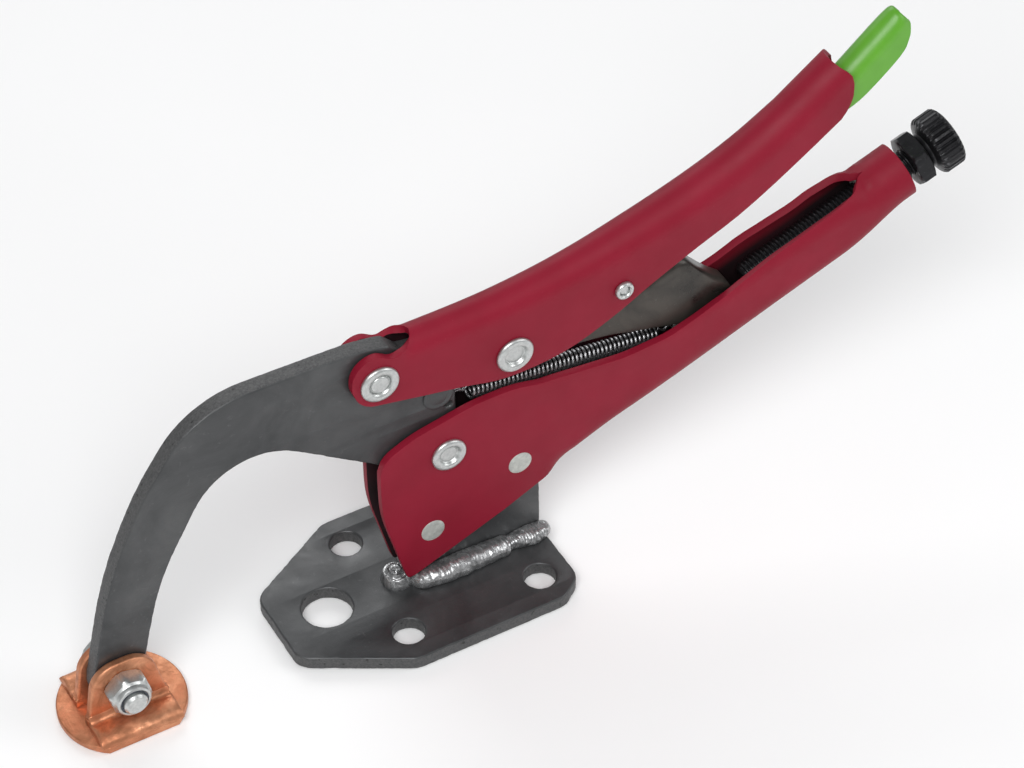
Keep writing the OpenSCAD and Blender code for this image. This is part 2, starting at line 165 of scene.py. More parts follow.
def inside_coat_and_painted_shade(tree):
    """The inner side of the handles: near-black painted shade for the shaded hollow, with the crimson coat
    showing towards the rear slot's edges.
    """
    # painted shade: two near-black tones that stand in for the shade inside the handles
    cloud = spread_out(tree, grain(tree, 70, 4), 0.35, 0.65)
    painted_shade = mix(tree, cloud, (0.010, 0.005, 0.006), (0.026, 0.006, 0.009))
    place = add(tree, "ShaderNodeTexCoord").outputs["Object"]
    axes = add(tree, "ShaderNodeSeparateXYZ", {"Vector": place})
    rise = add(tree, "ShaderNodeVectorMath", {"Vector": place}, operation="DOT_PRODUCT")
    rise.inputs[1].default_value = (ABOVE[0], 0.0, ABOVE[1])
    axis_height = float(TUBE_END @ ABOVE) * MM
    # crimson coat colour near the rear slot's edges, painted shade deeper in and further forward
    near_edge = spread_out(tree, rise.outputs["Value"], axis_height + 0.002, axis_height + 0.007)
    rear = spread_out(tree, axes.outputs["X"], 0.055, 0.085)
    share = add(tree, "ShaderNodeMath", operation="MULTIPLY")
    tree.links.new(near_edge, share.inputs[0])
    tree.links.new(rear, share.inputs[1])
    return {"Base Color": mix(tree, share.outputs["Value"], painted_shade, (0.200, 0.006, 0.018)), "Roughness": 0.62,
            "Specular IOR Level": 0.3, "Normal": relief(tree, grain(tree, 900, 3), 0.00004, 0.5)}


def dark_steel(tree):
    """Oiled hot-rolled plate: charcoal scale with smears, scratches and worn patches."""
    cloud = spread_out(tree, grain(tree, 38, 6, 0.6, 0.6), 0.32, 0.68)
    scale = mix(tree, cloud, (0.046, 0.048, 0.050), (0.090, 0.092, 0.094))
    worn = spread_out(tree, grain(tree, 420, 8, 0.7, 0.4), 0.60, 0.74, 0.0, 0.45)
    drawn = grain(tree, 900, 3, 0.6, 0.0, (0.06, 1.0, 1.0))
    pits = relief(tree, grain(tree, 1500, 5, 0.65), 0.00009, 0.5)
    return {"Base Color": mix(tree, worn, scale, (0.17, 0.17, 0.172)),
            "Metallic": 0.55,
            "Roughness": spread_out(tree, grain(tree, 90, 5, 0.6, 0.5), 0.3, 0.7, 0.30, 0.52),
            "Normal": relief(tree, drawn, 0.00004, 0.3, pits)}


def cut_steel(tree):
    """The plate's sawn and burnt edges: rougher and lighter than its faces."""
    streaks = spread_out(tree, grain(tree, 1300, 6, 0.7), 0.35, 0.7)
    holes = spread_out(tree, grain(tree, 520, 2, 0.5), 0.66, 0.72)
    tone = mix(tree, streaks, (0.062, 0.063, 0.065), (0.125, 0.125, 0.125))
    return {"Base Color": mix(tree, holes, tone, (0.030, 0.030, 0.030)),
            "Metallic": 0.45, "Roughness": 0.55,
            "Normal": relief(tree, grain(tree, 1100, 6, 0.7), 0.0002, 0.7)}


def weld_metal(tree):
    """Bright weld with dull grey oxide between the ripples."""
    oxide = spread_out(tree, grain(tree, 260, 6, 0.65, 1.2), 0.42, 0.66)
    fine = relief(tree, grain(tree, 2200, 4, 0.6, 0.8), 0.00004, 0.35)
    return {"Base Color": mix(tree, oxide, (0.50, 0.505, 0.51), (0.15, 0.152, 0.155)),
            "Metallic": 0.85,
            "Roughness": spread_out(tree, oxide, 0.0, 1.0, 0.24, 0.48),
            "Normal": relief(tree, grain(tree, 520, 4, 0.55, 1.0), 0.00016, 0.35, fine)}


def plain_steel(tree):
    """Flush rivet ends and tabs: pale, nearly matt."""
    cloud = spread_out(tree, grain(tree, 700, 5), 0.35, 0.65)
    return {"Base Color": mix(tree, cloud, (0.42, 0.435, 0.41), (0.58, 0.595, 0.56)),
            "Metallic": 0.55, "Roughness": spread_out(tree, cloud, 0.0, 1.0, 0.42, 0.55),
            "Normal": relief(tree, grain(tree, 3000, 4), 0.00002, 0.5)}


def zinc(tree):
    """Bright zinc plate with a faint spangle and rubbed marks."""
    spangle = spread_out(tree, grain(tree, 900, 4, 0.6, 0.6), 0.35, 0.68)
    turned = grain(tree, 2600, 2, 0.5, 0.0, (1.0, 0.1, 1.0))
    return {"Base Color": mix(tree, spangle, (0.50, 0.515, 0.51), (0.62, 0.635, 0.625)),
            "Metallic": 0.9, "Roughness": spread_out(tree, spangle, 0.0, 1.0, 0.40, 0.32),
            "Normal": relief(tree, turned, 0.00002, 0.2)}


def black_oxide(tree):
    """Blackened screw parts with an oily gloss and greyed high spots."""
    rubbed = spread_out(tree, grain(tree, 800, 6, 0.65), 0.55, 0.75, 0.0, 0.6)
    return {"Base Color": mix(tree, rubbed, (0.018, 0.018, 0.020), (0.075, 0.075, 0.078)),
            "Metallic": 0.6, "Roughness": spread_out(tree, grain(tree, 300), 0.3, 0.7, 0.26, 0.42),
            "Normal": relief(tree, grain(tree, 2400, 3), 0.00003, 0.4)}


def black_link(tree):
    """Pressed steel, blackened, with brownish oil film and scuffs."""
    film = spread_out(tree, grain(tree, 70, 5, 0.6, 0.8), 0.35, 0.68)
    scuff = spread_out(tree, grain(tree, 620, 7, 0.7, 0.3), 0.62, 0.76, 0.0, 0.5)
    tone = mix(tree, film, (0.030, 0.027, 0.024), (0.075, 0.067, 0.058))
    return {"Base Color": mix(tree, scuff, tone, (0.20, 0.19, 0.18)),
            "Metallic": 0.55, "Roughness": spread_out(tree, film, 0.0, 1.0, 0.26, 0.42),
            "Normal": relief(tree, grain(tree, 900, 4), 0.00005, 0.5)}


def green_dip(tree):
    """Dipped vinyl: glossy, with soft runs and a little depth."""
    cloud = spread_out(tree, grain(tree, 60, 3), 0.35, 0.65)
    runs = grain(tree, 120, 2, 0.4, 0.3, (0.35, 1.0, 0.35))
    return {"Base Color": mix(tree, cloud, (0.085, 0.300, 0.014), (0.108, 0.350, 0.020)),
            "Roughness": spread_out(tree, grain(tree, 400), 0.3, 0.7, 0.34, 0.44),
            "Coat Weight": 0.08, "Coat Roughness": 0.2,
            "Normal": relief(tree, runs, 0.0005, 0.25)}


def copper(tree):
    """Rubbed copper: pink where bright, brown where tarnished, with filing marks."""
    tarnish = spread_out(tree, grain(tree, 150, 6, 0.62, 0.9), 0.36, 0.66)
    flush = spread_out(tree, grain(tree, 70, 3, 0.5, 0.5), 0.40, 0.62)
    bright = mix(tree, flush, (0.70, 0.33, 0.185), (0.66, 0.25, 0.13))
    marks = grain(tree, 1800, 3, 0.6, 0.0, (1.0, 0.08, 0.5))
    dents = relief(tree, grain(tree, 420, 5, 0.6), 0.00025, 0.5)
    return {"Base Color": mix(tree, tarnish, bright, (0.42, 0.17, 0.085)),
            "Metallic": 0.80,
            "Roughness": spread_out(tree, grain(tree, 500, 5), 0.3, 0.7, 0.36, 0.54),
            "Normal": relief(tree, marks, 0.00006, 0.5, dents)}


def spring_wire(tree):
    """Hard-drawn wire, dark with bright ridges."""
    cloud = spread_out(tree, grain(tree, 1500, 4), 0.4, 0.65)
    return {"Base Color": mix(tree, cloud, (0.20, 0.20, 0.205), (0.42, 0.42, 0.43)),
            "Metallic": 0.9, "Roughness": spread_out(tree, cloud, 0.0, 1.0, 0.22, 0.36),
            "Normal": relief(tree, grain(tree, 5000, 2), 0.00001, 0.4)}


def nylon(tree):
    """The lock nut's insert ring."""
    cloud = spread_out(tree, grain(tree, 900, 3), 0.35, 0.65)
    return {"Base Color": mix(tree, cloud, (0.03, 0.035, 0.05), (0.05, 0.06, 0.08)),
            "Roughness": 0.5}


PAINTS = {made.__name__: material(made.__name__, made) for made in (
    crimson_coat, inside_coat_and_painted_shade, dark_steel, cut_steel, weld_metal, plain_steel, zinc, black_oxide, black_link,
    green_dip, copper, spring_wire, nylon)}

# ---- curves and meshes ----------------------------------------------------------------------------

def spread(path, shares):
    """Points at the given shares, 0 to 1, of a path's length."""
    path = np.array(path, float)
    run = np.concatenate([[0.0], np.cumsum(np.linalg.norm(np.diff(path, axis=0), axis=1))])
    return np.stack([np.interp(np.array(shares) * run[-1], run, axis) for axis in path.T], axis=1)


def shares_of(path):
    """How far along its path each point is, 0 to 1."""
    run = np.concatenate([[0.0], np.cumsum(np.linalg.norm(np.diff(path, axis=0), axis=1))])
    return run / run[-1]


def flow(rows, steps):
    """Rows of equal length joined by a smooth curve, with steps new rows in each gap."""
    rows = np.array(rows, float)
    ends = np.vstack([2 * rows[0] - rows[1], rows, 2 * rows[-1] - rows[-2]])
    made = []
    for a, b, c, d in zip(ends, ends[1:], ends[2:], ends[3:]):
        for t in np.arange(steps) / steps:
            made.append(b + 0.5 * t * (c - a + t * (2 * a - 5 * b + 4 * c - d + t * (3 * (b - c) + d - a))))
    return np.array(made + [rows[-1]])


def rounded(corners):
    """An open side-view path whose corners [x, z, radius] are rounded."""
    steps = 8
    made = [np.array(corners[0][:2], float)]
    for before, at, after in zip(corners, corners[1:], corners[2:]):
        b = np.array(at[:2], float)
        p, q = np.array(before[:2]) - b, np.array(after[:2]) - b
        p, q = p / np.linalg.norm(p), q / np.linalg.norm(q)
        half = math.acos(max(-1.0, min(1.0, p @ q))) / 2
        start, end = b + p * at[2] / math.tan(half), b + q * at[2] / math.tan(half)
        for t in np.linspace(0, 1, steps + 1):
            # a circle's arc between its tangent points, as a rational curve
            w = math.sin(half)
            parts = (1 - t) ** 2, 2 * w * t * (1 - t), t ** 2
            made.append((parts[0] * start + parts[1] * b + parts[2] * end) / sum(parts))
    return np.array(made + [np.array(corners[-1][:2], float)])


def split(path, *places):
    """A path cut at its points nearest to the given places."""
    cuts = [int(np.argmin(np.linalg.norm(path - np.array(p), axis=1))) for p in places]
    edges = [0] + cuts + [len(path) - 1]
    return [path[a:b + 1] for a, b in zip(edges, edges[1:])]


def patch(left, right, start, end, columns):
    """Side-view grid between four edges: rows run from left to right, and start and end join them.
    left and right are point lists of one length, start and end are paths, all running the same way."""
    ease = np.linspace(0, 1, columns)
    first, last = spread(start, ease), spread(end, ease)
    t = shares_of(right)[:, None]
    rows = []
    for s, a, b in zip(ease, first, last):
        rows.append((1 - s) * left + s * right + (1 - t) * a + t * b
                    - (1 - s) * ((1 - t) * left[0] + t * left[-1]) - s * ((1 - t) * right[0] + t * right[-1]))
    return np.array(rows)


def step(value, low, high):
    """A smooth step from 0 at low to 1 at high."""
    t = np.clip((value - low) / (high - low), 0, 1)
    return t * t * (3 - 2 * t)


def wobble(point, pitch, size):
    """Smooth seeded unevenness at a point, up to about size."""
    return size * noise.noise(Vector(point) / pitch)


def strip(rows, cols, first=0, loop=False, flip=False):
    """Quads over a grid of points numbered from first, row by row."""
    faces = []
    for i in range(rows - 1):
        for j in range(cols if loop else cols - 1):
            k = (j + 1) % cols
            quad = [first + i * cols + j, first + i * cols + k,
                    first + (i + 1) * cols + k, first + (i + 1) * cols + j]
            faces.append(quad[::-1] if flip else quad)
    return faces


def finish(obj, slot, body, nodes, angle=35, extra=()):
    """Bakes the piece's modifiers, shades it, gives it its material, and ties it to its body."""
    if obj.modifiers:
        baked = bpy.data.meshes.new_from_object(obj.evaluated_get(bpy.context.evaluated_depsgraph_get()))
        obj.modifiers.clear()
        obj.data = baked
    places = [face.material_index for face in obj.data.polygons]
    obj.data.materials.clear()
    for name in (slot, *extra):
        obj.data.materials.append(PAINTS[name])
    for face, place in zip(obj.data.polygons, places):
        face.material_index = min(place, len(extra))
    obj.data.shade_smooth()
    obj.data.set_sharp_from_angle(angle=math.radians(angle))
    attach(obj, body)
    if nodes:
        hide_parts(*nodes)
    return obj


def mesh_object(name, points, faces, weld=0.02, orient=True):
    """An object from points in millimetres, with doubled points welded."""
    mesh = bpy.data.meshes.new(name)
    mesh.from_pydata([Vector(p) * MM for p in points], [], faces)
    work = bmesh.new()
    work.from_mesh(mesh)
    bmesh.ops.remove_doubles(work, verts=work.verts, dist=weld * MM)
    bmesh.ops.dissolve_degenerate(work, edges=work.edges, dist=0.001 * MM)
    if orient:
        bmesh.ops.recalc_face_normals(work, faces=work.faces)
    work.to_mesh(mesh)
    work.free()
    obj = bpy.data.objects.new(name, mesh)
    bpy.context.scene.collection.objects.link(obj)
    return obj


def soften(obj, width, segments=3, angle=40):
    """Rounds the edges that turn by more than angle."""
    made = obj.modifiers.new("soft edges", "BEVEL")
    made.width = width * MM
    made.segments = segments
    made.limit_method = "ANGLE"
    made.angle_limit = math.radians(angle)
    made.use_clamp_overlap = True
    return obj


def thicken(obj, thickness):
    """Gives a surface its thickness, on its inner side."""
    made = obj.modifiers.new("sheet", "SOLIDIFY")
    made.thickness = thickness * MM
    made.offset = -1
    made.use_even_offset = True
    return obj


def folded_sheet(name, half, slot, body, nodes, thickness, edge, inside=()):
    """A symmetric folded sheet from rows of points on its far half, each row running from the fold to its
    edge. inside may name another material for its inner side, which the handles use for painted shade."""
    half = np.array(half)
    rows, cols = half.shape[:2]
    far = half.reshape(-1, 3)
    near = far * (1, -1, 1)
    faces = strip(rows, cols) + strip(rows, cols, rows * cols, flip=True)
    obj = mesh_object(name, np.vstack([far, near]), faces, orient=False)
    lean = sum(f.normal.y * f.center.y * f.area for f in obj.data.polygons)
    if lean < 0:
        obj.data.flip_normals()
    for paint in (slot, *inside):
        obj.data.materials.append(PAINTS[paint])
    thicken(obj, thickness).modifiers["sheet"].material_offset = len(inside)
    soften(obj, edge, 4)
    return finish(obj, slot, body, nodes, extra=inside)


def half_section(half_width, depth, lip=0):
    """Half of a folded sheet's section as [across, depth] points: round the fold and along the wall,
    whose edge curls in by lip degrees."""
    fold_steps, wall_steps = 9, 12
    curl = math.radians(max(0.0, lip))
    wall_end = max(half_width + 0.05, depth - half_width * math.sin(curl))
    straight = wall_end - half_width
    total = straight + half_width * curl
    points = []
    for a in np.linspace(0, math.pi / 2, fold_steps, endpoint=False):
        points.append((half_width * math.sin(a), half_width * (1 - math.cos(a))))
    for run in np.linspace(0, total, wall_steps + 1):
        a = max(0.0, run - straight) / half_width
        points.append((half_width * math.cos(a), half_width + min(run, straight) + half_width * math.sin(a)))
    return np.array(points)


# ---- solids turned about an axis -------------------------------------------------------------------

def turned(name, origin, axis, rings, slot, body, nodes, around=64, angle=30, loop=False, wavy=None):
    """A solid of rings [distance along the axis, radius], or a closed ring section when loop is set.
    wavy(angle, distance, radius) may change the radius round the ring."""
    axis = Vector(axis).normalized()
    side = Vector((0, 1, 0)) if abs(axis.y) < 0.9 else Vector((1, 0, 0))
    up = axis.cross(side)
    points = []
    for along, radius in rings:
        for k in range(around):
            a = 2 * math.pi * k / around
            r = wavy(a, along, radius) if wavy else radius
            points.append(Vector(origin) + axis * along + (side * math.cos(a) + up * math.sin(a)) * r)
    faces = strip(len(rings), around, loop=True)
    if loop:
        last = (len(rings) - 1) * around
        for k in range(around):
            faces.append([last + k, last + (k + 1) % around, (k + 1) % around, k])
    obj = mesh_object(name, points, faces, weld=0.004)
    return finish(obj, slot, body, nodes, angle)


def hexagon(flats):
    """Radius of a hexagon of that width across its flats, by angle."""
    def radius(a):
        return flats / 2 / math.cos((a + math.pi / 6) % (math.pi / 3) - math.pi / 6)
    return radius


# ---- flat plates -----------------------------------------------------------------------------------

def face_loops(node, axis, level):
    """Outlines of a node's flat face at a level along an axis, as lists of points in the other two axes."""
    keep = [k for k in range(3) if k != axis]
    mesh = frame["nodes"][node].data
    points = {v.index: tuple(round(c / MM, 3) for c in v.co) for v in mesh.vertices}
    open_edges = {}
    for face in mesh.polygons:
        corners = [points[v] for v in face.vertices]
        if all(abs(c[axis] - level) < 0.01 for c in corners):
            ring = [(c[keep[0]], c[keep[1]]) for c in corners]
            for a, b in zip(ring, ring[1:] + ring[:1]):
                if open_edges.get(b) and a in open_edges[b]:
                    open_edges[b].remove(a)
                else:
                    open_edges.setdefault(a, []).append(b)
    loops = []
    while any(open_edges.values()):
        start = next(a for a, ends in open_edges.items() if ends)
        ring, at = [start], open_edges[start].pop()
        while at != start:
            ring.append(at)
            at = open_edges[at].pop()
        loops.append(np.array(ring))
    return sorted(loops, key=lambda ring: -np.ptp(ring[:, 0]))


def even(ring, pitch):
    """A closed outline with its points no closer than a quarter of pitch, and no further apart than it."""
    made = []
    for a, b in zip(ring, np.roll(ring, -1, axis=0)):
        length = np.linalg.norm(b - a)
        if made and np.linalg.norm(a - made[-1]) < pitch / 4:
            continue
        count = max(1, math.ceil(length / pitch))
        made.extend(a + (b - a) * k / count for k in range(count))
    return np.array(made)


def signed_area(ring):
    """A closed outline's area, positive when it runs anticlockwise."""
    x, z = ring.T
    return 0.5 * float(np.sum(x * np.roll(z, -1) - np.roll(x, -1) * z))


def inward(ring):
    """Unit vectors that point from a closed outline's points into the material on its left."""
    ahead = np.roll(ring, -1, axis=0) - ring
    ahead /= np.linalg.norm(ahead, axis=1)[:, None]
    behind = np.roll(ahead, 1, axis=0)
    normal = np.stack([-(ahead + behind)[:, 1], (ahead + behind)[:, 0]], axis=1)
    return normal / np.maximum(np.linalg.norm(normal, axis=1), 0.3)[:, None]


def plate(name, node, axis, levels, slot, body, edge=0.6, rough=0.0, pitch=1.0, lower=None, relax=0):
    """A flat plate with eased edges that stands for a node, cut from its own outline. rough makes the cut
    edge uneven, and relax is how many times the outer outline is evened out."""
    low, high = levels
    loops = [even(ring, pitch) for ring in face_loops(node, axis, low if lower is None else lower)]
    for _ in range(relax):
        ring = loops[0]
        loops[0] = (np.roll(ring, 1, axis=0) + 2 * ring + np.roll(ring, -1, axis=0)) / 4
    # the outer outline runs anticlockwise and the holes clockwise
    loops = [ring if (signed_area(ring) > 0) == (k == 0) else ring[::-1] for k, ring in enumerate(loops)]
    profile = []
    for a in np.linspace(0, math.pi / 2, 4):
        profile.append((edge * (1 - math.sin(a)), low + edge * (1 - math.cos(a))))
    middle = [(0.0, low + (high - low) * k / 4) for k in (1, 2, 3)]
    profile += middle + [(inset, low + high - level) for inset, level in profile[::-1]]
    points, faces, first_caps, last_caps = [], [], [], []
    for ring in loops:
        normal = inward(ring)
        start = len(points)
        for inset, level in profile:
            for at, turn in zip(ring, normal):
                jag = wobble((at[0], level * 1.6, at[1]), 1.9, rough)
                jag += wobble((at[1], level, at[0]), 6, rough)
                spot = at + turn * (inset + abs(jag) * (1.0 if inset < edge else 0.25))
                points.append(np.insert(spot, axis, level))
        faces += strip(len(profile), len(ring), start, loop=True)
        first_caps.append(list(range(start, start + len(ring))))
        last_caps.append(list(range(len(points) - len(ring), len(points))))
    for caps in (first_caps, last_caps):
        flat = [index for ring in caps for index in ring]
        flat_rings = [[Vector(np.delete(points[i], axis)).to_3d() for i in ring] for ring in caps]
        for triangle in tessellate_polygon(flat_rings):
            faces.append([flat[k] for k in triangle])
    obj = mesh_object(name, points, faces, weld=0.002)
    if rough:
        obj = finish(obj, slot, body, [node], 50, ("cut_steel",))
        for face in obj.data.polygons:
            face.material_index = int(abs(face.normal[axis]) < 0.5)
        return obj
    return finish(obj, slot, body, [node], 50)


# ---- base ------------------------------------------------------------------------------------------

def base():
    low, high = box("base_plate")
    plate("base_plate_eased", "base_plate", 2, (low[2], high[2]), "dark_steel", "base", 0.7, 0.22)
    low, high = box("upright_web")
    plate("upright_web_eased", "upright_web", 1, (low[1], high[1]), "dark_steel", "base", 0.6, 0.16)


def weld_surface(side):
    """Height and spread of one weld run, from its left end at share 0 to its right end at 1."""
    def size(share):
        body = 7.0 + 0.35 * math.sin(9 * share + side) - 0.8 * step(share, 0.62, 0.74)
        waist = 1.0 - 0.24 * math.exp(-((share - 0.70) / 0.035) ** 2)
        ends = math.sqrt(max(0.0, 1 - abs(2 * share - 1) ** 9))
        return body * waist * (0.12 + 0.88 * ends)
    return size


def weld_run(name, node, side):
    """A fillet bead along the web's foot: crescent ripples over lumps, the last quarter laid on top."""
    low, high = box(node)
    web = box("upright_web")[1][1]
    floor = box("base_plate")[1][2]
    size = weld_surface(side)
    columns, rounds = 190, 26
    points = []
    for i in range(columns + 1):
        share = i / columns
        x = low[0] + (high[0] - low[0]) * share
        for j in range(rounds + 1):
            turn = j / rounds
            a = turn * math.pi / 2
            # crescents: the ripple's phase lags towards the bead's two toes
            lag = 2.2 * (2 * turn - 1) ** 2
            pitch = 1.5 if share < 0.7 else 1.0
            ripple = 0.5 + 0.5 * math.cos(2 * math.pi * (x + lag) / pitch)
            wet = step(turn, 0.25, 0.7) if share < 0.66 else 1.0
            crater = 0.5 * math.exp(-((share - 0.80) / 0.05) ** 2 - ((turn - 0.6) / 0.3) ** 2)
            r = size(share) * (0.90 + 0.16 * math.sin(2 * a)) - crater
            r += (0.03 + (0.10 if share < 0.66 else 0.24) * wet) * ripple ** 2 * math.sin(2 * a) ** 0.5
            rest = 1.0 - step(share, 0.60, 0.70)
            r += wobble((x, side * 5, turn * 6), 3.6, 0.55)
            r += wobble((x, side * 3, turn * 5), 1.0, 0.30 - 0.20 * rest * (1 - wet))
            lean = 0.10 + 0.98 * math.cos(a), 0.12 + 0.72 * math.sin(a)
            points.append((x, side * (web - 0.3 + r * lean[0]), floor - 0.15 + r * lean[1]))
    count = rounds + 1
    faces = strip(columns + 1, count)
    corner = len(points)
    points += [(low[0] + (high[0] - low[0]) * i / columns, side * (web - 0.3), floor - 0.15)
               for i in range(columns + 1)]
    for i in range(columns):
        a, b = corner + i, corner + i + 1
        faces.append([a, b, (i + 1) * count, i * count])
        faces.append([b, a, i * count + rounds, (i + 1) * count + rounds])
    for i in (0, columns):
        faces += [[corner + i, i * count + j, i * count + j + 1] for j in range(rounds)]
    obj = mesh_object(name, points, faces)
    finish(obj, "weld_metal", "base", [node], 60)


def weld_blob():
    """The round end of the weld in front of the web, with a dished top."""
    top = box("weld_tack")[1][2]
    floor = box("base_plate")[1][2]
    centre = (-17.0, 0.0)
    rounds, around = 26, 64
    rings = []
    for share in np.linspace(0, 1, rounds):
        rings.append((5.6 * math.sin(share * math.pi / 2), (top - floor) * math.cos(share * math.pi / 2)))
    points, faces = [], strip(rounds, around, loop=True)
    for radius, height in rings:
        for k in range(around):
            a = 2 * math.pi * k / around
            x, y = centre[0] + radius * math.cos(a) * 0.92, centre[1] + radius * math.sin(a)
            dish = -1.5 * math.exp(-(radius / 1.7) ** 2) + 0.35 * math.cos(radius * 4.2)
            lump = wobble((x, y, 1), 2.4, 0.7) + wobble((x, y, 5), 0.8, 0.25)
            points.append((x, y, floor - 0.1 + max(0.0, height + (dish + lump) * height / 5.0)))
    obj = mesh_object("weld_end_blob", points, faces)
    finish(obj, "weld_metal", "base", ["weld_tack"], 60)


# ---- fixed handle ----------------------------------------------------------------------------------

# Rear channel along the screw axis: [u, v of the fold, v of the open edge, half width, lip angle]
CHANNEL_ROWS = [
    [-137, -17.6, 22.8, 6.4, 0], [-132, -17.2, 20.6, 6.5, 0], [-122, -16.3, 16.4, 7.2, 0],
    [-108, -15.8, 11.4, 8.4, 3], [-92, -15.4, 8.2, 9.0, 8], [-76, -15.1, 7.9, 9.0, 16],
    [-58, -14.8, 9.0, 8.9, 26], [-38, -14.6, 9.4, 8.8, 36], [-27, -14.2, 9.4, 9.0, 40],
    [-19, -12.8, 9.6, 9.2, 54], [-13, -11.2, 9.5, 9.4, 88], [-6, -9.7, 9.5, 9.5, 90],
    [0, -9.5, 9.5, 9.5, 90]]


def fixed_handle():
    """One pressed sheet: two side plates at the front that run into a folded channel, which closes
    into the adjusting screw's tube at the rear."""
    channel = []
    for u, fold, edge, half_width, lip in flow(CHANNEL_ROWS, 5):
        row = []
        for across, depth in half_section(half_width, edge - fold, lip):
            v = fold + depth
            high = step(depth / (edge - fold), 0.55, 1.0)
            slot = step(u, -118, -100) * (1 - step(u, -25, -14))
            crimp = math.exp(-((u + 15) / 4.5) ** 2)
            across += high * slot * wobble((u, 0, 9), 11, 0.5)
            v += high * (slot * wobble((u, 4, 0), 9, 0.5) + crimp * wobble((u, across, 2), 2.2, 1.3))
            across = max(0.0, across)
            x, z = on_axis(u, v)
            row.append((x, across, z))
        channel.append(row)
    joint = np.array(channel[0])
    fold_start, edge_start = joint[0][[0, 2]], joint[-1][[0, 2]]
    outline = rounded([fold_start, (41, 33.6, 10), (20, 23.8, 20), (-15.5, 9.5, 2), (-23.4, 42, 60),
                       (-23.4, 65.6, 9), (-11, 71.3, 30), (10, 75.6, 40), (24, 75.8, 40), edge_start])
    bottom, front, top = split(outline, (-15.5, 9.5), (-23.4, 65.6))
    right = joint[:, [0, 2]]
    side = patch(spread(front, shares_of(right)), right, bottom[::-1], top, 34)
    rows = []
    for s, row in zip(np.linspace(0, 1, len(side)), side):
        close = step(s, 0.80, 1.0)
        rows.append([(x, JAW_HALF + (y - JAW_HALF) * close, z) for (x, z), y in zip(row, joint[:, 1])])
    # the inner side gets painted shade, with the coat colour near the rear slot's edges
    folded_sheet("fixed_handle_pressing", rows[:-1] + channel, "crimson_coat", "base", ["fixed_handle"],
                 SHEET, 0.75, ("inside_coat_and_painted_shade",))


# ---- upper handle ----------------------------------------------------------------------------------

# Folded sheet from the relief notch back: [x, z of the fold, tilt, half width, depth]
UPPER_ROWS = [
    [-8.4, 112.1, 0, 6.2, 23.7], [6, 112.3, 1, 6.2, 27.0], [20, 112.9, 4, 6.4, 30.9],
    [37, 114.9, 9, 6.6, 31.6], [53, 118.0, 12, 7.0, 28.1], [68, 122.0, 14, 7.4, 23.7],
    [83, 126.5, 17, 7.7, 20.6], [97, 131.6, 22, 7.8, 19.2], [110, 137.6, 28, 7.8, 17.6],
    [123, 145.2, 33, 7.7, 16.8]]
# The rear edge: [distance below the fold, how far it reaches past the fold's end]
UPPER_END = np.array([(0, 2.4), (3, 3.0), (6, 3.6), (9.4, 2.2), (13.4, -0.8), (15.2, -3.4), (16.6, -6.6),
                      (17.0, -8.5)])


def section_row(x, z, tilt, half_width, depth):
    """A section of a sheet whose fold is on top, as points on its far half."""
    down = np.array([math.sin(math.radians(tilt)), -math.cos(math.radians(tilt))])
    row = []
    for across, below in half_section(half_width, depth):
        at = np.array([x, z]) + down * below
        row.append((at[0], across, at[1]))
    return row


def upper_handle():
    rows = [section_row(*row) for row in flow(UPPER_ROWS, 4)]
    # the rounded rear edge
    fold_end, tilt = np.array([137.6, 155.8]), math.radians(37)
    ahead, down = np.array([math.cos(tilt), math.sin(tilt)]), np.array([math.sin(tilt), -math.cos(tilt)])
    last = []
    for across, below in half_section(7.6, UPPER_END[-1][0]):
        reach = np.interp(below, UPPER_END[:, 0], UPPER_END[:, 1])
        at = fold_end + ahead * reach + down * below
        last.append((at[0], across, at[1]))
    body_end, last = np.array(rows[-1]), np.array(last)
    for s in np.linspace(0, 1, 9)[1:]:
        rows.append(body_end + (last - body_end) * s)
    # the two front ears and the notch between them
    joint = np.array(rows[0])
    right = joint[:, [0, 2]]
    outline = rounded([right[-1], (-28.5, 92.8, 9), (-31.2, 101, 8), (-30.4, 110.4, 8), (-22, 111.4, 5),
                       (-16.8, 108.0, 3.5), (-12.6, 109.4, 3), (-9.6, 111.5, 1.0), right[0]])
    bottom, front, rim = split(outline, (-28.5, 92.8), (-30.4, 110.4))
    side = patch(spread(front[::-1], shares_of(right)), right, rim, bottom[::-1], 34)
    ears = []
    middle = right[0][1] - JAW_HALF
    for row in side:
        made = []
        for x, z in row:
            over = min(JAW_HALF, max(0.0, z - middle))
            bend = JAW_HALF - math.sqrt(JAW_HALF ** 2 - over ** 2)
            made.append((x, JAW_HALF - bend * step(x, -14.5, -8.6), z))
        ears.append(made)
    # the inner side gets painted shade
    folded_sheet("upper_handle_pressing", ears[:-1] + rows, "crimson_coat", "upper_handle",
                 ["upper_handle"], SHEET, 0.95, ("inside_coat_and_painted_shade",))


# ---- release lever ---------------------------------------------------------------------------------

LEVER_ROWS = [
    [54.5, 103.0, 8, 4.1, 6.0], [60, 105.3, 11, 4.2, 8.6], [71.6, 107.4, 14, 4.5, 9.2],
    [87.2, 112.6, 17, 4.8, 8.7], [101.5, 120.5, 22, 4.9, 11.0], [113.8, 130.5, 28, 4.9, 12.5],
    [126.8, 139.1, 33, 4.8, 12.3], [139.5, 146.6, 36, 4.4, 11.2], [147, 152.5, 37, 4.3, 10.6]]
TAIL_ROWS = [
    [137, 145.4, 37, 5.1, 10.6], [144, 151.0, 37, 5.2, 12.3], [156, 161.2, 38, 5.2, 12.2],
    [160.5, 164.9, 38, 4.9, 9.8], [162.6, 166.5, 38, 4.2, 7.6], [163.9, 166.6, 40, 3.0, 5.6],
    [164.4, 165.6, 42, 1.4, 3.4]]


